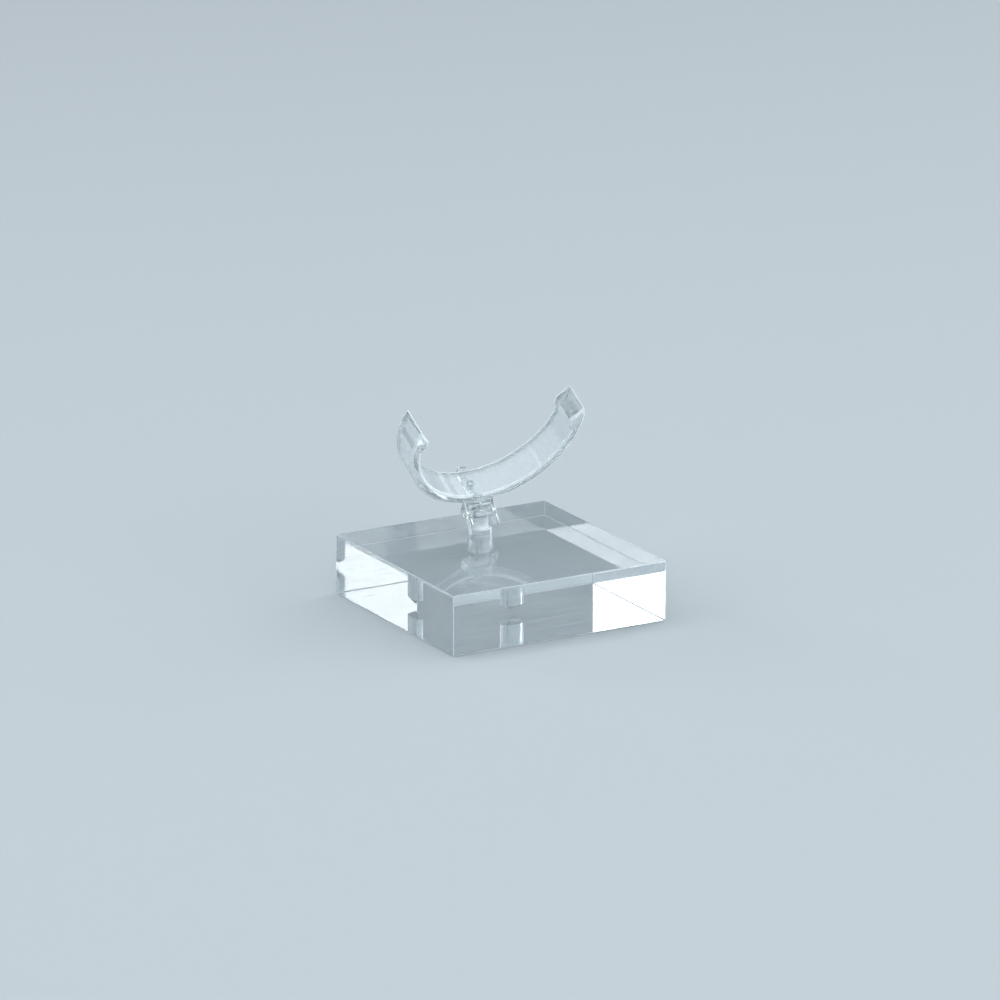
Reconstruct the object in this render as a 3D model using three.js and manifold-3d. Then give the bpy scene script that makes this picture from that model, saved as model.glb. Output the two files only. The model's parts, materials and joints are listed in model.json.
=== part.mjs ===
// Clear acrylic turntable display stand: an open ring on a tilting fork, on a post that turns in a
// block. Millimetres, +Z up, origin at the centre of the block's underside, +Y to the back.
import * as THREE from 'three';
import { mergeVertices } from 'three/addons/utils/BufferGeometryUtils.js';
import Module from 'manifold-3d';

// Block
const BLOCK_SIDE = 60;
const BLOCK_HEIGHT = 15.4;
const EDGE_BREAK = 0.25;
const HOLE_RADIUS = 3.2;
const HOLE_DEPTH = 13;
const DRILL_POINT = 1.5;
const POST_Y = 10;

// Post
const POST_RADIUS = 2.9;
const POST_BOTTOM = 2.7;
const POST_CHAMFER = 0.3;
const SHOULDER_Z = 18.2;
const NECK_RADIUS = 2;
const NECK_ROUNDING = 1.6;

// Tilt joint
const PIVOT_Z = 21.2;
const PIN_RADIUS = 0.5;
const PIN_BORE_RADIUS = 0.57;
const PIN_END_ROUNDING = 0.15;
const HEAD_LEAN = 30.5;

// Ring, about its own centre: angle 0 is its lowest point, positive towards +X
const RING_RADIUS = 24;
const RING_THICKNESS = 2.68;
const RING_WIDTH = 9.06;
const RING_RISE = 24.83;
const RING_SETBACK = 7.89;
const OUTER_END_ANGLE = 95.5;
const TIP = { angle: 101.8, radius: 23.5 };
const VALLEY = { angle: 97, radius: 21.45 };
const NOSE_TOP = { angle: 92.8, radius: 19.9 };
const NOSE_FOOT = { angle: 87, radius: 20.15 };
const INNER_END_ANGLE = 83.5;

// Clip, in the head's frame: x across, y up through the ring's opening, z forwards
const FORK_HALF_WIDTH = 4.15;
const SLOT_HALF_WIDTH = 3.1;
const SLOT_RADIUS = 2.2;
const SLOT_FRONT = -1.5;
const ARM_BOTTOM = -1.1;
const ARM_TIP_RADIUS = 0.5;
const ARM_TIP_FORWARD = 2.8;
const LIP_TOP = 2.7;
const LIP_FRONT = -2.4;
const FORK_REAR = -2.6;
const RAIL_HALF_WIDTH = 1.05;
const RAIL_BOTTOM = -0.5;
const HOOK_THICKNESS = 0.9;
const HOOK_RISE = 0.4;
const HOOK_REACH = 0.7;
const FRONT_HOOK_HALF_WIDTH = 1;
const SEAT_GAP = 0.2;
const PEG_RADIUS = 0.8;
const PEG_HOLE_RADIUS = 1;
const PEG_PROUD = 0.3;

const ROUND_STEPS = 48;
const SMALL_STEPS = 24;
const RING_STEPS = 72;

const wasm = await Module();
wasm.setup();

function toSolid(geometry) {
  const bare = geometry.clone();
  bare.deleteAttribute('normal');
  bare.deleteAttribute('uv');
  const merged = mergeVertices(bare, 1e-4);
  const mesh = new wasm.Mesh({
    numProp: 3,
    vertProperties: new Float32Array(merged.attributes.position.array),
    triVerts: new Uint32Array(merged.index.array),
  });
  return new wasm.Manifold(mesh);
}

function toGeometry(solid) {
  const mesh = solid.getMesh();
  const geometry = new THREE.BufferGeometry();
  geometry.setAttribute('position', new THREE.BufferAttribute(mesh.vertProperties, 3));
  geometry.setIndex(new THREE.BufferAttribute(mesh.triVerts, 1));
  return geometry;
}

function clearPlastic(colour) {
  return new THREE.MeshStandardMaterial({
    color: colour,
    roughness: 0.05,
    metalness: 0,
    transparent: true,
    opacity: 0.35,
  });
}

function part(name, geometry, colour) {
  const mesh = new THREE.Mesh(geometry, clearPlastic(colour));
  mesh.name = name;
  return mesh;
}

// A profile of [radius, height] points turned about +Z
function turned(profile, steps) {
  const points = profile.map(([radius, height]) => new THREE.Vector2(radius, height));
  return new THREE.LatheGeometry(points, steps).rotateX(Math.PI / 2);
}

// A round bar along X through the local origin
function crossBar(radius, length) {
  return new THREE.CylinderGeometry(radius, radius, length, SMALL_STEPS).rotateZ(Math.PI / 2);
}

// A side outline of (forwards, up) points, extruded across the width from -half to +half
function acrossWidth(outline, half) {
  const geometry = new THREE.ExtrudeGeometry(outline, {
    depth: 2 * half,
    bevelEnabled: false,
    curveSegments: ROUND_STEPS,
  });
  return geometry.translate(0, 0, -half).rotateY(-Math.PI / 2);
}

function polygon(corners) {
  return new THREE.Shape(corners.map(([x, y]) => new THREE.Vector2(x, y)));
}

function rectangle(left, bottom, right, top) {
  return polygon([[left, bottom], [right, bottom], [right, top], [left, top]]);
}

// Square block with all its edges broken, and the blind drilled hole
function blockGeometry() {
  const half = BLOCK_SIDE / 2;
  const inner = half - EDGE_BREAK;
  const square = polygon([
    [-inner, -half], [inner, -half], [half, -inner], [half, inner],
    [inner, half], [-inner, half], [-half, inner], [-half, -inner],
  ]);
  const block = new THREE.ExtrudeGeometry(square, {
    depth: BLOCK_HEIGHT - 2 * EDGE_BREAK,
    bevelEnabled: true,
    bevelThickness: EDGE_BREAK,
    bevelSize: EDGE_BREAK,
    bevelOffset: -EDGE_BREAK,
    bevelSegments: 1,
  }).translate(0, 0, EDGE_BREAK);
  const floor = BLOCK_HEIGHT - HOLE_DEPTH;
  const drill = turned([
    [0, floor - DRILL_POINT], [HOLE_RADIUS, floor], [HOLE_RADIUS, BLOCK_HEIGHT + 1],
    [0, BLOCK_HEIGHT + 1],
  ], ROUND_STEPS).translate(0, POST_Y, 0);
  return toGeometry(toSolid(block).subtract(toSolid(drill)));
}

// Peg with a thinner neck, a domed top and the cross hole for the pin
function postGeometry() {
  const profile = [
    [0, POST_BOTTOM],
    [POST_RADIUS - POST_CHAMFER, POST_BOTTOM],
    [POST_RADIUS, POST_BOTTOM + POST_CHAMFER],
    [POST_RADIUS, SHOULDER_Z - POST_CHAMFER],
    [POST_RADIUS - POST_CHAMFER, SHOULDER_Z],
    [NECK_RADIUS, SHOULDER_Z],
  ];
  const steps = 8;
  const crown = NECK_RADIUS - NECK_ROUNDING;
  for (let i = 0; i <= steps; i += 1) {
    const angle = (i / steps) * (Math.PI / 2);
    const radius = crown + NECK_ROUNDING * Math.cos(angle);
    profile.push([radius, PIVOT_Z + NECK_ROUNDING * Math.sin(angle)]);
  }
  profile.push([0, PIVOT_Z + NECK_ROUNDING]);
  const peg = toSolid(turned(profile, ROUND_STEPS));
  const bore = crossBar(PIN_BORE_RADIUS, 4 * POST_RADIUS).translate(0, 0, PIVOT_Z);
  return toGeometry(peg.subtract(toSolid(bore)));
}

// Pin with lightly rounded ends, flush with the fork's outer faces
function pinGeometry() {
  const half = FORK_HALF_WIDTH;
  const face = PIN_RADIUS - PIN_END_ROUNDING;
  const pin = turned([
    [0, -half], [face, -half], [PIN_RADIUS, PIN_END_ROUNDING - half],
    [PIN_RADIUS, half - PIN_END_ROUNDING], [face, half], [0, half],
  ], SMALL_STEPS);
  return pin.rotateY(Math.PI / 2);
}

// A point of the ring's outline, by its angle from the ring's lowest point
function onRing(side, { angle, radius }) {
  const turn = THREE.MathUtils.degToRad(angle);
  return [side * radius * Math.sin(turn), -radius * Math.cos(turn)];
}

function shapeAngle(angle) {
  return THREE.MathUtils.degToRad(angle - 90);
}

// Outline of an open ring between two radii; the profile of its ends is given tip to root
function ringOutline(outer, inner, outerEnd, innerEnd, endProfile) {
  const outline = new THREE.Shape();
  outline.absarc(0, 0, outer, shapeAngle(-outerEnd), shapeAngle(outerEnd), false);
  endProfile.forEach((corner) => outline.lineTo(...onRing(1, corner)));
  outline.absarc(0, 0, inner, shapeAngle(innerEnd), shapeAngle(-innerEnd), true);
  [...endProfile].reverse().forEach((corner) => outline.lineTo(...onRing(-1, corner)));
  return outline;
}

function ringExtrusion(outline, from, to) {
  const geometry = new THREE.ExtrudeGeometry(outline, {
    depth: to - from,
    bevelEnabled: false,
    curveSegments: RING_STEPS,
  });
  return geometry.translate(0, RING_RISE, from);
}

const RING_REAR = -RING_SETBACK - RING_WIDTH / 2;
const RING_FRONT = -RING_SETBACK + RING_WIDTH / 2;
const RING_INNER = RING_RADIUS - RING_THICKNESS;
const RING_FLOOR = RING_RISE - RING_INNER;

// Locating peg, or the hole for it, standing on the clip's seat
function pegSolid(radius, bottom, top) {
  const peg = new THREE.CylinderGeometry(radius, radius, top - bottom, SMALL_STEPS);
  return toSolid(peg.translate(0, (top + bottom) / 2, -RING_SETBACK));
}

// Open ring with an inward lip at each end and a hole for the locating peg
function bandGeometry() {
  const lip = [TIP, VALLEY, NOSE_TOP, NOSE_FOOT];
  const outline = ringOutline(RING_RADIUS, RING_INNER, OUTER_END_ANGLE, INNER_END_ANGLE, lip);
  const band = toSolid(ringExtrusion(outline, RING_REAR, RING_FRONT));
  return toGeometry(band.subtract(pegSolid(PEG_HOLE_RADIUS, -2, RING_FLOOR + 2)));
}

// Side outline of the fork: level underside, round tips, top edges that slope up to the front lip
function forkOutline() {
  const tipY = ARM_BOTTOM + ARM_TIP_RADIUS;
  const run = ARM_TIP_FORWARD - LIP_FRONT;
  const drop = LIP_TOP - tipY;
  const slope = Math.atan2(drop, run) - Math.asin(ARM_TIP_RADIUS / Math.hypot(run, drop));
  const outline = new THREE.Shape();
  outline.moveTo(FORK_REAR, ARM_BOTTOM);
  outline.lineTo(ARM_TIP_FORWARD, ARM_BOTTOM);
  outline.absarc(ARM_TIP_FORWARD, tipY, ARM_TIP_RADIUS, -Math.PI / 2, Math.PI / 2 - slope, false);
  outline.lineTo(LIP_FRONT, LIP_TOP);
  outline.lineTo(RING_FRONT + SEAT_GAP, LIP_TOP);
  outline.lineTo(RING_FRONT + SEAT_GAP, RING_RISE - RING_RADIUS);
  return outline;
}

// Clip: fork, rail under the ring, a hook over each edge of the ring, and the locating peg
function clipGeometry() {
  const hookTop = RING_FLOOR + SEAT_GAP + HOOK_RISE;
  const rear = RING_REAR - SEAT_GAP - HOOK_THICKNESS;
  const front = RING_FRONT + SEAT_GAP + HOOK_THICKNESS;
  const rearReach = RING_REAR + HOOK_REACH;
  const frontReach = RING_FRONT - HOOK_REACH;
  const seatTop = RING_RISE - RING_RADIUS;
  const rail = polygon([
    [LIP_FRONT, RAIL_BOTTOM], [LIP_FRONT, seatTop], [rearReach, seatTop],
    [rearReach, hookTop - HOOK_RISE / 2], [rearReach - HOOK_RISE / 2, hookTop],
    [rear + HOOK_RISE, hookTop], [rear, hookTop - HOOK_RISE], [rear, RAIL_BOTTOM],
  ]);
  const frontHook = polygon([
    [frontReach, 0], [front, 0], [front, hookTop - HOOK_RISE], [front - HOOK_RISE, hookTop],
    [frontReach + HOOK_RISE / 2, hookTop], [frontReach, hookTop - HOOK_RISE / 2],
  ]);
  const seat = ringOutline(RING_RADIUS + SEAT_GAP, RING_INNER - SEAT_GAP, 60, 60, []);
  const slot = new THREE.Shape().absarc(0, 0, SLOT_RADIUS, 0, 2 * Math.PI, false);
  const reach = 2 * FORK_HALF_WIDTH;
  const cut = (outline, half) => toSolid(acrossWidth(outline, half));

  return toGeometry(cut(forkOutline(), FORK_HALF_WIDTH)
    .subtract(cut(slot, SLOT_HALF_WIDTH))
    .subtract(cut(rectangle(SLOT_FRONT, 0, reach, reach), SLOT_HALF_WIDTH))
    .subtract(cut(rectangle(0, -reach, reach, reach), SLOT_HALF_WIDTH))
    .subtract(cut(rectangle(-3, -reach, reach, RAIL_BOTTOM), SLOT_HALF_WIDTH))
    .add(cut(rail, RAIL_HALF_WIDTH))
    .add(cut(frontHook, FRONT_HOOK_HALF_WIDTH))
    .subtract(toSolid(ringExtrusion(seat, RING_REAR - SEAT_GAP, RING_FRONT + SEAT_GAP)))
    .add(pegSolid(PEG_RADIUS, RAIL_BOTTOM / 2, RING_FLOOR + PEG_PROUD))
    .subtract(toSolid(crossBar(PIN_BORE_RADIUS, 4 * FORK_HALF_WIDTH))));
}

const stand = new THREE.Group();
stand.add(part('base_block', blockGeometry(), 0xdfe8ea));

const post = part('swivel_post', postGeometry(), 0xe2ebee);
post.position.y = POST_Y;
stand.add(post);

const head = new THREE.Group();
head.position.set(0, POST_Y, PIVOT_Z);
head.rotation.x = THREE.MathUtils.degToRad(90 + HEAD_LEAN);
head.add(part('tilt_pin', pinGeometry(), 0xe6eef0));
head.add(part('saddle_clip', clipGeometry(), 0xe2ebee));
head.add(part('cradle_band', bandGeometry(), 0xdce6e9));
stand.add(head);

export default stand;
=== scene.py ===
"""Looks for the clear display stand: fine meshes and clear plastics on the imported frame."""
import json
import math

import bmesh
import bpy
from mathutils import Matrix, Vector


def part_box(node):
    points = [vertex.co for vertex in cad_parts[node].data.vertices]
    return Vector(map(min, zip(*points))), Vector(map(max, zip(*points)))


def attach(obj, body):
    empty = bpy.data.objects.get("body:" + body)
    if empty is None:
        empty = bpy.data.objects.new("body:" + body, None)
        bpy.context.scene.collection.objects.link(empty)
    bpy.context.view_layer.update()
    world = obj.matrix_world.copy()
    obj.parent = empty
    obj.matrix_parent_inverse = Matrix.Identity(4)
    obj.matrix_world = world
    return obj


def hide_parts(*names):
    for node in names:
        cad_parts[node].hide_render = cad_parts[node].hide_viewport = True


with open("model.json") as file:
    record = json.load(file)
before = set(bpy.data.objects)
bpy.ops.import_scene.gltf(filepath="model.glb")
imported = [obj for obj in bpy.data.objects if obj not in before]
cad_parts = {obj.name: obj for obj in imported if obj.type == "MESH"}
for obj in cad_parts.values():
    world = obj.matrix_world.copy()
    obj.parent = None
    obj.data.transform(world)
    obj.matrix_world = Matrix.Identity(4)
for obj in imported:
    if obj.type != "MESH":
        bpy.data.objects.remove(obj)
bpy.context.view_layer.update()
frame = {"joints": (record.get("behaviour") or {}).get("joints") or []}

MM = 0.001
SCENE = bpy.context.scene

# Places from the frame, in millimetres
joints = {joint["name"]: joint for joint in frame["joints"]}
pivot = Vector(joints["tilt"]["pos_m"]) / MM
post_axis = Vector(joints["swivel"]["pos_m"]) / MM
block_low, block_high = (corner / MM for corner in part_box("base_block"))
post_low, post_high = (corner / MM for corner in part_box("swivel_post"))
clip_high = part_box("saddle_clip")[1] / MM

# How many sides round pieces have
TURN_STEPS = 128
SMALL_TURN_STEPS = 48
RING_STEPS = 160

# Block, in millimetres as all the shapes below
BLOCK_EDGE = 0.25
BLOCK_EDGE_STEPS = 5
HOLE_RADIUS = 3.2
HOLE_DEPTH = 13
HOLE_MOUTH_CHAMFER = 0.15
DRILL_POINT = 1.5

# Post
POST_RADIUS = 2.9
SHOULDER_HEIGHT = 18.2
POST_EDGE = 0.3
NECK_RADIUS = 2
PIN_RADIUS = 0.5
PIN_EDGE = 0.15
PIN_BORE_RADIUS = 0.57

# Head: x across, y up through the ring's opening, z forwards, from the pivot.
# Ring points are (degrees from the ring's lowest point, radius from its centre).
HEAD_LEAN = math.radians(30.5)
RING_RADIUS = 24
RING_THICKNESS = 2.68
RING_WIDTH = 9.06
RING_RISE = 24.83
RING_SETBACK = 7.89
RING_EDGE = 0.75
RING_CORNER = 0.2
OUTER_END = 95.5
INNER_END = 83.5
LIP = ((101.8, 23.5), (97, 21.45), (92.8, 19.9), (87, 20.15))

# Clip: a fork round the neck, and a rail under the ring with a hook at each end
FORK_HALF_WIDTH = clip_high.x
SLOT_HALF_WIDTH = 3.1
SLOT_RADIUS = 2.2
SLOT_FRONT = -1.5
ARM_BOTTOM = -1.1
ARM_TIP_RADIUS = 0.5
ARM_TIP_FORWARD = 2.8
LIP_TOP = 2.7
LIP_FRONT = -2.4
FORK_REAR = -2.6
RAIL_HALF_WIDTH = 1.05
RAIL_BOTTOM = -0.5
HOOK_THICKNESS = 0.9
HOOK_RISE = 0.4
HOOK_REACH = 0.7
FRONT_HOOK_HALF_WIDTH = 1
SEAT_GAP = 0.2
SEAT_END = 60
SEAT_STEPS = 120
PEG_RADIUS = 0.8
PEG_HOLE_RADIUS = 1
PEG_PROUD = 0.3
PEG_EDGE = 0.2
CLIP_CELL = 0.08
CLIP_ROUNDING_PASSES = 18
CLIP_WEAR_ANGLES = (6, 15)

RING_INNER = RING_RADIUS - RING_THICKNESS
RING_FLOOR = RING_RISE - RING_INNER
RING_REAR = -RING_SETBACK - RING_WIDTH / 2
RING_FRONT = -RING_SETBACK + RING_WIDTH / 2

HEAD_TO_WORLD = Matrix.Translation(pivot) @ Matrix.Rotation(math.pi / 2 + HEAD_LEAN, 4, "X")


# ---------------------------------------------------------------- mesh tools

def as_object(name, mesh_data):
    """A new object in the scene for a bmesh, in millimetres until it is finished."""
    mesh = bpy.data.meshes.new(name)
    bmesh.ops.recalc_face_normals(mesh_data, faces=mesh_data.faces)
    mesh_data.to_mesh(mesh)
    mesh_data.free()
    obj = bpy.data.objects.new(name, mesh)
    SCENE.collection.objects.link(obj)
    return obj


def turned(name, profile, steps):
    """A profile of (radius, height) points turned about Z; it starts and ends on the axis."""
    bm = bmesh.new()
    rows = []
    for radius, height in profile:
        if radius < 1e-9:
            rows.append([bm.verts.new((0, 0, height))])
            continue
        row = []
        for step in range(steps):
            turn = 2 * math.pi * step / steps
            row.append(bm.verts.new((radius * math.cos(turn), radius * math.sin(turn), height)))
        rows.append(row)
    for low, high in zip(rows, rows[1:]):
        for step in range(steps):
            after = (step + 1) % steps
            corners = [low[step % len(low)], low[after % len(low)]]
            corners += [high[after % len(high)], high[step % len(high)]]
            bm.faces.new(list(dict.fromkeys(corners)))
    return as_object(name, bm)


def round_corners(outline, radius, moved=0, steps=6, smallest=12):
    """Replaces each corner of an anticlockwise outline that was moved inwards with an arc."""
    rounded = []
    count = len(outline)
    for step, corner in enumerate(outline):
        corner = Vector(corner)
        back = (Vector(outline[step - 1]) - corner).normalized()
        ahead = (Vector(outline[(step + 1) % count]) - corner).normalized()
        turn = math.pi - back.angle(ahead)
        if math.degrees(turn) < smallest:
            rounded.append(tuple(corner))
            continue
        outward = back.x * ahead.y - back.y * ahead.x < 0
        size = max(radius - moved, radius / 20) if outward else radius + moved
        centre = corner + (back + ahead).normalized() * size / math.cos(turn / 2)
        first = corner + back * size * math.tan(turn / 2) - centre
        last = corner + ahead * size * math.tan(turn / 2) - centre
        sweep = first.angle_signed(last)
        for part in range(steps + 1):
            spoke = first.copy()
            spoke.rotate(Matrix.Rotation(-sweep * part / steps, 2))
            rounded.append(tuple(centre + spoke))
    return rounded


def inset(outline, amount):
    """The outline, which runs anticlockwise, moved inwards by the same amount all round."""
    moved = []
    count = len(outline)
    for step, point in enumerate(outline):
        normals = []
        for first, last in ((step - 1, step), (step, (step + 1) % count)):
            along = Vector(outline[last]) - Vector(outline[first])
            normals.append(Vector((-along.y, along.x)).normalized())
        mitre = (normals[0] + normals[1]) / (1 + normals[0].dot(normals[1]))
        moved.append(Vector(point) + mitre * amount)
    return moved


def slab(name, outline, start, end, edge=0, corner=0, steps=5):
    """An anticlockwise outline extruded along Z, with rounded rims and corners if they are given."""
    layers = [(0, start), (0, end)]
    if edge:
        turns = [math.pi / 2 * step / steps for step in range(steps + 1)]
        low = [(edge * (1 - math.sin(turn)), start + edge * (1 - math.cos(turn))) for turn in turns]
        layers = low + [(amount, start + end - height) for amount, height in reversed(low)]
    bm = bmesh.new()
    rows = []
    for amount, height in layers:
        points = inset(outline, amount) if amount else outline
        if corner:
            points = round_corners(points, corner, amount)
        rows.append([bm.verts.new((*point[:2], height)) for point in points])
    bm.faces.new(rows[0][::-1])
    bm.faces.new(rows[-1])
    count = len(rows[0])
    for low, high in zip(rows, rows[1:]):
        for step in range(count):
            after = (step + 1) % count
            bm.faces.new((low[step], low[after], high[after], high[step]))
    return as_object(name, bm)


def move(obj, matrix):
    obj.data.transform(matrix)
    return obj


def across(name, outline, half):
    """A side outline of (forwards, up) points, extruded across the head from -half to +half."""
    return move(slab(name, outline, -half, half), Matrix.Rotation(-math.pi / 2, 4, "Y"))


def apply_modifiers(obj):
    """Replaces the object's mesh by what its modifiers make of it."""
    depsgraph = bpy.context.evaluated_depsgraph_get()
    mesh = bpy.data.meshes.new_from_object(obj.evaluated_get(depsgraph))
    obj.modifiers.clear()
    old = obj.data
    obj.data = mesh
    bpy.data.meshes.remove(old)
    mesh.name = obj.name


def combine(obj, tool, operation):
    """Joins the tool object to obj or cuts it from obj, and deletes the tool."""
    boolean = obj.modifiers.new(operation, "BOOLEAN")
    boolean.object = tool
    boolean.operation = operation
    boolean.solver = "EXACT"
    apply_modifiers(obj)
    bpy.data.objects.remove(tool)
    return obj


def bevel_edges(obj, width, segments):
    bevel = obj.modifiers.new("edges", "BEVEL")
    bevel.width = width
    bevel.segments = segments
    apply_modifiers(obj)
    return obj


def mould(obj, voxel, passes):
    """Rounds every edge and corner a little, as a moulding has them."""
    remesh = obj.modifiers.new("cells", "REMESH")
    remesh.mode = "VOXEL"
    remesh.voxel_size = voxel
    smooth = obj.modifiers.new("rounding", "SMOOTH")
    smooth.factor = 0.5
    smooth.iterations = passes
    flats = obj.modifiers.new("flats", "DECIMATE")
    flats.decimate_type = "DISSOLVE"
    flats.angle_limit = math.radians(1)
    apply_modifiers(obj)
    return obj


def mark_edges(obj, least=10, full=17):
    """Stores how much of an edge each point is, from the angle between the faces around it."""
    bm = bmesh.new()
    bm.from_mesh(obj.data)
    worn = []
    for point in bm.verts:
        turn = max(math.degrees(abs(edge.calc_face_angle(0))) for edge in point.link_edges)
        worn.append(min(max((turn - least) / (full - least), 0), 1))
    bm.free()
    attribute = obj.data.attributes.new("edge_wear", "FLOAT", "POINT")
    attribute.data.foreach_set("value", worn)
    return obj


def weld(obj, nearest=0.001):
    """Merges points that a boolean has left almost on top of each other, and leaves triangles."""
    bm = bmesh.new()
    bm.from_mesh(obj.data)
    bmesh.ops.remove_doubles(bm, verts=bm.verts, dist=nearest)
    bmesh.ops.triangulate(bm, faces=bm.faces, quad_method="BEAUTY", ngon_method="BEAUTY")
    bmesh.ops.dissolve_degenerate(bm, edges=bm.edges, dist=nearest)
    bm.to_mesh(obj.data)
    bm.free()


def shade(obj, sharpest=35):
    """Smooth across rounded edges, sharp across the rest, and flat faces kept optically flat."""
    for face in obj.data.polygons:
        face.use_smooth = True
    obj.data.set_sharp_from_angle(angle=math.radians(sharpest))
    weighted = obj.modifiers.new("normals", "WEIGHTED_NORMAL")
    weighted.keep_sharp = True
    apply_modifiers(obj)
    return obj


def arc(radius, start, end, steps, centre=(0, 0)):
    """Points of an arc; angles in degrees from +X, towards +Y."""
    points = []
    for step in range(steps + 1):
        turn = math.radians(start + (end - start) * step / steps)
        points.append((centre[0] + radius * math.cos(turn), centre[1] + radius * math.sin(turn)))
    return points


def rectangle(left, bottom, right, top):
    return [(left, bottom), (right, bottom), (right, top), (left, top)]


def finish_piece(obj, body, node, material, matrix=None):
    """Scales the piece to metres in the row frame, gives it its material, ties it to its body, and
    hides its CAD node.
    """
    obj.data.transform(matrix or Matrix.Identity(4))
    weld(obj)
    shade(obj)
    obj.data.transform(Matrix.Scale(MM, 4))
    obj.data.materials.clear()
    obj.data.materials.append(material)
    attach(obj, body)
    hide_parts(node)
    return obj


# ---------------------------------------------------------------- materials

ACRYLIC_IOR = 1.491
EDGE_ROUGHNESS = 0.55
WAVE_DEPTH = 0.1
SCRATCH_DEPTH = 0.01
HAZE_PATCH_GRAIN = (700, 700, 700)
HAZE_PATCH_SPAN = (0.25, 0.7)
THINNEST_HAZE = 0.55
LIMB_SPAN = (0.45, 0.9)


def streaks(tree, coordinates, scale, turn, low, high, detail=3):
    """Noise drawn out into fine streaks, from 0 below low to 1 above high."""
    stretch = tree.nodes.new("ShaderNodeMapping")
    stretch.inputs["Scale"].default_value = scale
    stretch.inputs["Rotation"].default_value = [math.radians(angle) for angle in turn]
    noise = tree.nodes.new("ShaderNodeTexNoise")
    noise.inputs["Scale"].default_value = 1
    noise.inputs["Detail"].default_value = detail
    tree.links.new(coordinates.outputs["Object"], stretch.inputs["Vector"])
    tree.links.new(stretch.outputs["Vector"], noise.inputs["Vector"])
    return spread(tree, noise.outputs["Fac"], (low, high), (0, 1))


def spread(tree, source, span, target):
    """Maps a value from one span to another, and holds it at the ends."""
    node = tree.nodes.new("ShaderNodeMapRange")
    node.inputs["From Min"].default_value = span[0]
    node.inputs["From Max"].default_value = span[1]
    node.inputs["To Min"].default_value = target[0]
    node.inputs["To Max"].default_value = target[1]
    tree.links.new(source, node.inputs["Value"])
    return node.outputs["Result"]


def bump(tree, source, strength, depth, below=None):
    """Bump of a depth in millimetres, on top of the normals below if they are given."""
    node = tree.nodes.new("ShaderNodeBump")
    node.inputs["Strength"].default_value = strength
    node.inputs["Distance"].default_value = depth * MM
    tree.links.new(source, node.inputs["Height"])
    if below:
        tree.links.new(below, node.inputs["Normal"])
    return node.outputs["Normal"]


def combined(tree, operation, first, second):
    """A clamped Math node; each input is a socket or a number."""
    node = tree.nodes.new("ShaderNodeMath")
    node.operation = operation
    node.use_clamp = True
    for socket, source in zip(node.inputs, (first, second)):
        if isinstance(source, (int, float)):
            socket.default_value = source
        else:
            tree.links.new(source, socket)
    return node.outputs[0]


def clear_plastic(name, colour, clarity, edge_haze, roughness, wave, wave_size, marks, scratches,
                  limb_haze=0):
    """Clear plastic: slow waves, fine polishing streaks, and edges that are paler from handling.

    Clarity and roughness go from their first value, between the streaks, to their second, on them.
    Wave size is in millimetres. Limb haze is how much milkier the plastic is at a glancing angle.
    """
    material = bpy.data.materials.new(name)
    material.use_nodes = True
    tree = material.node_tree
    shader = tree.nodes["Principled BSDF"]
    shader.inputs["Base Color"].default_value = (*colour, 1)
    shader.inputs["IOR"].default_value = ACRYLIC_IOR
    coordinates = tree.nodes.new("ShaderNodeTexCoord")
    fine = 0
    for grain, turn, low, high in marks:
        fine = combined(tree, "MAXIMUM", fine, streaks(tree, coordinates, grain, turn, low, high))
    wear = tree.nodes.new("ShaderNodeAttribute")
    wear.attribute_name = "edge_wear"
    patches = streaks(tree, coordinates, HAZE_PATCH_GRAIN, (0, 0, 0), *HAZE_PATCH_SPAN)
    patches = spread(tree, patches, (0, 1), (THINNEST_HAZE * edge_haze, edge_haze))
    haze = combined(tree, "MULTIPLY", wear.outputs["Fac"], patches)
    clear = spread(tree, fine, (0, 1), clarity)
    clear = combined(tree, "SUBTRACT", clear, haze)
    if limb_haze:
        facing = tree.nodes.new("ShaderNodeLayerWeight").outputs["Facing"]
        clear = combined(tree, "SUBTRACT", clear, spread(tree, facing, LIMB_SPAN, (0, limb_haze)))
    tree.links.new(clear, shader.inputs["Transmission Weight"])
    rough = spread(tree, fine, (0, 1), roughness)
    frosted = combined(tree, "MULTIPLY", wear.outputs["Fac"], EDGE_ROUGHNESS)
    tree.links.new(combined(tree, "MAXIMUM", rough, frosted), shader.inputs["Roughness"])
    slow = tree.nodes.new("ShaderNodeTexNoise")
    slow.inputs["Scale"].default_value = 1 / (wave_size * MM)
    slow.inputs["Detail"].default_value = 1
    tree.links.new(coordinates.outputs["Object"], slow.inputs["Vector"])
    waves = bump(tree, slow.outputs["Fac"], wave, WAVE_DEPTH)
    tree.links.new(bump(tree, fine, scratches, SCRATCH_DEPTH, waves), shader.inputs["Normal"])
    return material


# Streaks: noise scale along X, Y and Z, turn in degrees, and the noise where they start and end
BLOCK_MARKS = (
    ((45, 1300, 1300), (0, 0, 0), 0.3, 0.75),
    ((1300, 60, 1300), (0, 0, 4), 0.6, 1.2),
    ((30, 5000, 5000), (8, 12, 25), 0.62, 0.8),
)
PEG_MARKS = (((3500, 3500, 250), (0, 0, 0), 0.3, 0.75),)
MOULD_MARKS = (
    ((900, 300, 900), (20, 35, 10), 0.35, 0.8),
    ((60, 3000, 3000), (25, 10, 40), 0.6, 0.85),
)
block_clear = clear_plastic(
    "clear_block", (0.93, 0.98, 1), clarity=(0.93, 0.81), edge_haze=0.45, roughness=(0, 0.05),
    wave=0.02, wave_size=9, marks=BLOCK_MARKS, scratches=0.06,
)
peg_clear = clear_plastic(
    "clear_peg", (0.94, 0.98, 1), clarity=(0.84, 0.72), edge_haze=0.8, roughness=(0.03, 0.08),
    wave=0.05, wave_size=3, marks=PEG_MARKS, scratches=0.15, limb_haze=0.6,
)
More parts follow.
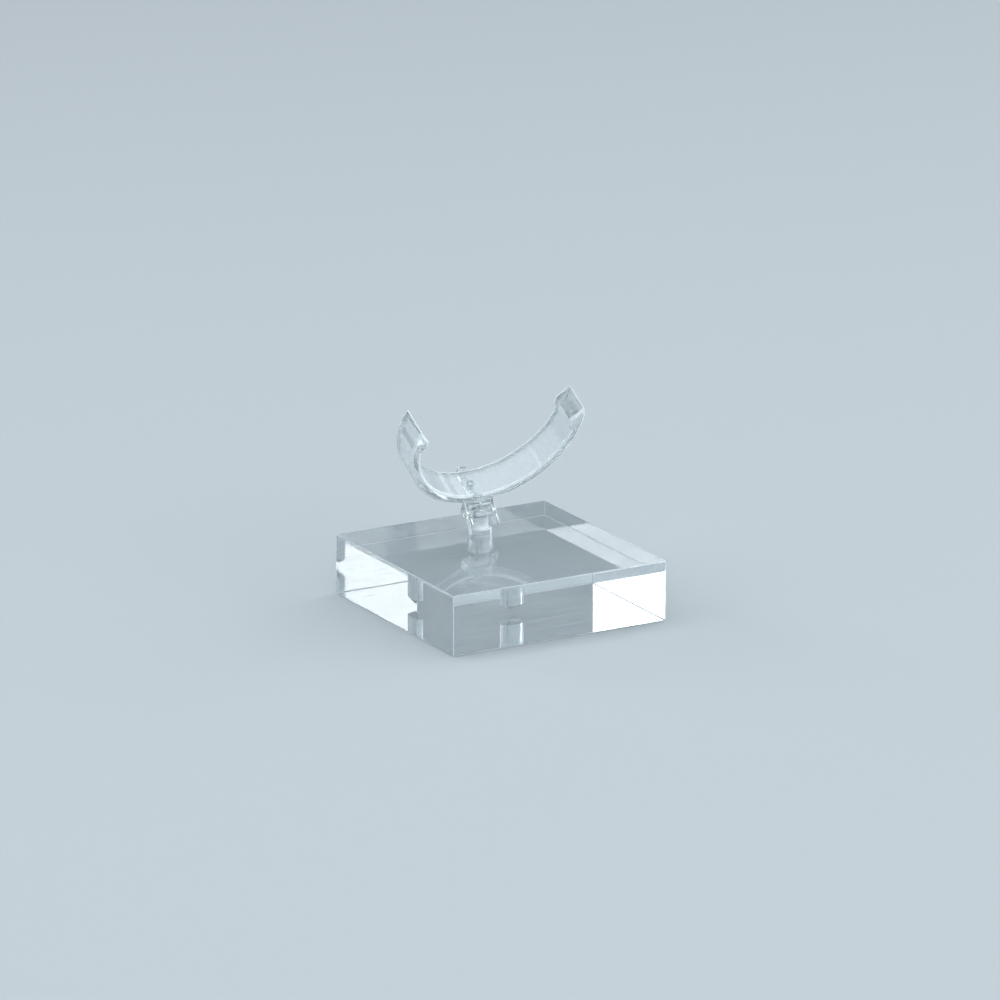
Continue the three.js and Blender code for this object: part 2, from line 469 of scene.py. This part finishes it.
moulded_clear = clear_plastic(
    "clear_moulding", (0.94, 0.98, 0.99), clarity=(0.96, 0.84), edge_haze=0.85,
    roughness=(0.03, 0.14), wave=0.08, wave_size=2.5, marks=MOULD_MARKS, scratches=0.3,
    limb_haze=0.3,
)


# ---------------------------------------------------------------- pieces

def make_block():
    low, high = block_low, block_high
    block = slab("block", rectangle(low.x, low.y, high.x, high.y), low.z, high.z)
    floor = high.z - HOLE_DEPTH
    mouth_radius = HOLE_RADIUS + HOLE_MOUTH_CHAMFER
    drill = turned("drill", [
        (0, floor - DRILL_POINT), (HOLE_RADIUS, floor),
        (HOLE_RADIUS, high.z - HOLE_MOUTH_CHAMFER), (mouth_radius, high.z),
        (mouth_radius, high.z + 1), (0, high.z + 1),
    ], TURN_STEPS)
    mark_edges(bevel_edges(block, BLOCK_EDGE, BLOCK_EDGE_STEPS))
    move(drill, Matrix.Translation((post_axis.x, post_axis.y, 0)))
    combine(block, drill, "DIFFERENCE")
    return block


def make_post():
    crown = post_high.z - pivot.z
    flat = NECK_RADIUS - crown
    profile = [
        (0, post_low.z), (POST_RADIUS - POST_EDGE, post_low.z),
        *arc(POST_EDGE, -90, 0, 6, (POST_RADIUS - POST_EDGE, post_low.z + POST_EDGE)),
        *arc(POST_EDGE, 0, 90, 6, (POST_RADIUS - POST_EDGE, SHOULDER_HEIGHT - POST_EDGE)),
        (NECK_RADIUS, SHOULDER_HEIGHT),
        *arc(crown, 0, 90, 16, (flat, pivot.z)),
        (0, post_high.z),
    ]
    post = mark_edges(turned("post", list(dict.fromkeys(profile)), TURN_STEPS))
    move(post, Matrix.Translation((post_axis.x, post_axis.y, 0)))
    bore = turned("bore", rod(PIN_BORE_RADIUS, 2 * POST_RADIUS), SMALL_TURN_STEPS)
    move(bore, Matrix.Translation(pivot) @ Matrix.Rotation(math.pi / 2, 4, "Y"))
    combine(post, bore, "DIFFERENCE")
    return post


def rod(radius, half, edge=0):
    """Profile of a plain round rod, with rounded ends if edge is more than 0."""
    if not edge:
        return [(0, -half), (radius, -half), (radius, half), (0, half)]
    return [
        (0, -half), *arc(edge, -90, 0, 4, (radius - edge, edge - half)),
        *arc(edge, 0, 90, 4, (radius - edge, half - edge)), (0, half),
    ]


def ring_point(angle, radius, side=1):
    """A point of the ring's outline, on its right or, with side -1, its left."""
    turn = math.radians(angle)
    return side * radius * math.sin(turn), -radius * math.cos(turn)


def ring_outline(outer, inner, outer_end, inner_end, lip, steps):
    """An open ring from its two radii, where each arc ends, and the points of a lip."""
    outline = arc(outer, -90 - outer_end, outer_end - 90, steps)
    outline += [ring_point(angle, radius) for angle, radius in lip]
    outline += arc(inner, inner_end - 90, -90 - inner_end, steps)
    outline += [ring_point(angle, radius, -1) for angle, radius in reversed(lip)]
    return outline


def ring_slab(name, outline, start, end, edge=0, corner=0):
    """A slab of a ring outline, lifted from the pivot to the ring's place."""
    slab_object = slab(name, outline, start, end, edge, corner)
    return move(slab_object, Matrix.Translation((0, RING_RISE, 0)))


def peg(name, radius, bottom, top, edge=0):
    """A round peg along the ring's middle line, in the head's frame."""
    obj = turned(name, rod(radius, (top - bottom) / 2, edge), SMALL_TURN_STEPS)
    place = Matrix.Translation((0, (top + bottom) / 2, -RING_SETBACK))
    return move(obj, place @ Matrix.Rotation(math.pi / 2, 4, "X"))


def make_band():
    outline = ring_outline(RING_RADIUS, RING_INNER, OUTER_END, INNER_END, LIP, RING_STEPS)
    band = ring_slab("band", outline, RING_REAR, RING_FRONT, RING_EDGE, RING_CORNER)
    mark_edges(band)
    return combine(band, peg("hole", PEG_HOLE_RADIUS, -2, RING_FLOOR + 2), "DIFFERENCE")


def fork_outline():
    """Side outline of a fork arm, with a round tip and a front that slopes up to the ring."""
    tip_y = ARM_BOTTOM + ARM_TIP_RADIUS
    run = ARM_TIP_FORWARD - LIP_FRONT
    drop = LIP_TOP - tip_y
    slope = math.atan2(drop, run) - math.asin(ARM_TIP_RADIUS / math.hypot(run, drop))
    front = RING_FRONT + SEAT_GAP
    return [
        (FORK_REAR, ARM_BOTTOM),
        *arc(ARM_TIP_RADIUS, -90, 90 - math.degrees(slope), 16, (ARM_TIP_FORWARD, tip_y)),
        (LIP_FRONT, LIP_TOP), (front, LIP_TOP), (front, RING_RISE - RING_RADIUS),
    ]


def make_clip():
    hook_top = RING_FLOOR + SEAT_GAP + HOOK_RISE
    rear = RING_REAR - SEAT_GAP - HOOK_THICKNESS
    front = RING_FRONT + SEAT_GAP + HOOK_THICKNESS
    rear_reach = RING_REAR + HOOK_REACH
    front_reach = RING_FRONT - HOOK_REACH
    seat_top = RING_RISE - RING_RADIUS
    rail = [
        (LIP_FRONT, RAIL_BOTTOM), (LIP_FRONT, seat_top), (rear_reach, seat_top),
        (rear_reach, hook_top - HOOK_RISE / 2), (rear_reach - HOOK_RISE / 2, hook_top),
        (rear + HOOK_RISE, hook_top), (rear, hook_top - HOOK_RISE), (rear, RAIL_BOTTOM),
    ]
    front_hook = [
        (front_reach, 0), (front, 0), (front, hook_top - HOOK_RISE),
        (front - HOOK_RISE, hook_top), (front_reach + HOOK_RISE / 2, hook_top),
        (front_reach, hook_top - HOOK_RISE / 2),
    ]
    reach = 2 * FORK_HALF_WIDTH
    clip = across("clip", fork_outline(), FORK_HALF_WIDTH)
    cuts = (
        arc(SLOT_RADIUS, 0, 354, 59),
        rectangle(SLOT_FRONT, 0, reach, reach),
        rectangle(0, -reach, reach, reach),
        rectangle(-3, -reach, reach, RAIL_BOTTOM),
    )
    for outline in cuts:
        combine(clip, across("cut", outline, SLOT_HALF_WIDTH), "DIFFERENCE")
    combine(clip, across("rail", rail, RAIL_HALF_WIDTH), "UNION")
    combine(clip, across("hook", front_hook, FRONT_HOOK_HALF_WIDTH), "UNION")
    seat_radii = (RING_RADIUS + SEAT_GAP, RING_INNER - SEAT_GAP)
    seat = ring_outline(*seat_radii, SEAT_END, SEAT_END, (), SEAT_STEPS)
    seat_slab = ring_slab("seat", seat, RING_REAR - SEAT_GAP, RING_FRONT + SEAT_GAP)
    combine(clip, seat_slab, "DIFFERENCE")
    locating_peg = peg("locating_peg", PEG_RADIUS, RAIL_BOTTOM / 2, RING_FLOOR + PEG_PROUD, PEG_EDGE)
    combine(clip, locating_peg, "UNION")
    mark_edges(mould(clip, CLIP_CELL, CLIP_ROUNDING_PASSES), *CLIP_WEAR_ANGLES)
    bore = turned("bore", rod(PIN_BORE_RADIUS, 2 * FORK_HALF_WIDTH), SMALL_TURN_STEPS)
    return combine(clip, move(bore, Matrix.Rotation(math.pi / 2, 4, "Y")), "DIFFERENCE")


def make_pin():
    pin = turned("pin", rod(PIN_RADIUS, FORK_HALF_WIDTH, PIN_EDGE), SMALL_TURN_STEPS)
    mark_edges(pin)
    return move(pin, Matrix.Rotation(math.pi / 2, 4, "Y"))


finish_piece(make_block(), "base", "base_block", block_clear)
finish_piece(make_post(), "post", "swivel_post", peg_clear)
finish_piece(make_pin(), "head", "tilt_pin", peg_clear, HEAD_TO_WORLD)
finish_piece(make_clip(), "head", "saddle_clip", moulded_clear, HEAD_TO_WORLD)
finish_piece(make_band(), "head", "cradle_band", moulded_clear, HEAD_TO_WORLD)


# ---------------------------------------------------------------- stage, lights and camera

CAMERA_AZIMUTH = math.radians(-29.5)
CAMERA_ELEVATION = math.radians(16.6)
CAMERA_DISTANCE = 1.978
CAMERA_LENS = 286.8
CAMERA_SENSOR = 36
AIM_HEIGHT = 0.0265

# Paper floor and wall, in metres
STAGE_RADIUS = 3.2
SWEEP_RADIUS = 1.4
WALL_TOP = 1.6
FLOOR_DROP = 0.0002
FLOOR_COLOUR = (0.58, 0.605, 0.625, 1)


def make_stage():
    """Plain pale paper floor that sweeps up into a wall all round."""
    profile = [(0, 0), *[(radius, 0) for radius in (0.3, 0.8, STAGE_RADIUS - SWEEP_RADIUS)]]
    profile += arc(SWEEP_RADIUS, -90, 0, 24, (STAGE_RADIUS - SWEEP_RADIUS, SWEEP_RADIUS))[1:]
    profile.append((STAGE_RADIUS, WALL_TOP))
    stage = turned("stage", profile, 96)
    stage.location.z = -FLOOR_DROP
    for face in stage.data.polygons:
        face.use_smooth = True
    material = bpy.data.materials.new("stage_paper")
    material.use_nodes = True
    tree = material.node_tree
    shader = tree.nodes["Principled BSDF"]
    shader.inputs["Roughness"].default_value = 0.9
    shader.inputs["Specular IOR Level"].default_value = 0.1
    shader.inputs["Base Color"].default_value = FLOOR_COLOUR
    stage.data.materials.append(material)


WHITE = (1, 1, 1)
COOL = (0.86, 0.95, 1)
AMBIENT_COLOUR = (0.88, 0.95, 1, 1)
AMBIENT_STRENGTH = 0.3

# Name, azimuth and elevation in degrees, distance, width and height in metres, radiance, colour
SOFTBOXES = (
    ("front_right_box", 29.5, 17, 1.9, 1.27, 0.95, 1.25, WHITE),
    ("back_left_box", 208.5, 17, 1.9, 0.66, 0.52, 4.5, WHITE),
    ("left_box", 255, 24, 2.1, 1.78, 1.3, 1.0, COOL),
    ("right_box", 85, 20, 2.1, 2.5, 1.13, 1.6, COOL),
    ("top_strip", 180, 80, 1.3, 3.2, 0.8, 1.6, COOL),
    ("front_box", -20, 50, 1.4, 1.2, 0.8, 1.4, COOL),
    ("low_front_box", 5, 7.5, 2.2, 2.6, 0.44, 5, COOL),
)


def softbox(name, azimuth, elevation, distance, width, height, radiance, colour):
    """A soft light aimed at the object, placed by azimuth and elevation as the views are."""
    light = bpy.data.lights.new(name, "AREA")
    light.shape = "RECTANGLE"
    light.size = width
    light.size_y = height
    light.energy = radiance * math.pi * width * height
    light.color = colour
    lamp = bpy.data.objects.new(name, light)
    turn, rise = math.radians(azimuth), math.radians(elevation)
    away = Vector((math.sin(turn) * math.cos(rise), -math.cos(turn) * math.cos(rise), math.sin(rise)))
    centre = Vector((0, 0, block_high.z * MM))
    lamp.location = centre + away * distance
    lamp.rotation_euler = away.to_track_quat("Z", "Y").to_euler()
    lamp.visible_camera = False
    SCENE.collection.objects.link(lamp)


def make_lights():
    for name, azimuth, elevation, distance, width, height, radiance, colour in SOFTBOXES:
        softbox(name, azimuth, elevation, distance, width, height, radiance, colour)
    world = bpy.data.worlds.new("studio")
    world.use_nodes = True
    background = world.node_tree.nodes["Background"]
    background.inputs["Color"].default_value = AMBIENT_COLOUR
    background.inputs["Strength"].default_value = AMBIENT_STRENGTH
    SCENE.world = world


def make_camera():
    data = bpy.data.cameras.new("camera")
    data.lens = CAMERA_LENS
    data.sensor_width = CAMERA_SENSOR
    camera = bpy.data.objects.new("camera", data)
    sideways, level = math.sin(CAMERA_AZIMUTH), math.cos(CAMERA_AZIMUTH)
    back = Vector((
        sideways * math.cos(CAMERA_ELEVATION),
        -level * math.cos(CAMERA_ELEVATION),
        math.sin(CAMERA_ELEVATION),
    ))
    right = Vector((level, sideways, 0))
    up = back.cross(right)
    camera.location = back * CAMERA_DISTANCE + up * AIM_HEIGHT
    camera.rotation_euler = Matrix((right, up, back)).transposed().to_euler()
    SCENE.collection.objects.link(camera)
    SCENE.camera = camera


make_stage()
make_lights()
make_camera()
SCENE.view_settings.view_transform = "Standard"
SCENE.cycles.max_bounces = 24
SCENE.cycles.transmission_bounces = 24
SCENE.cycles.glossy_bounces = 16
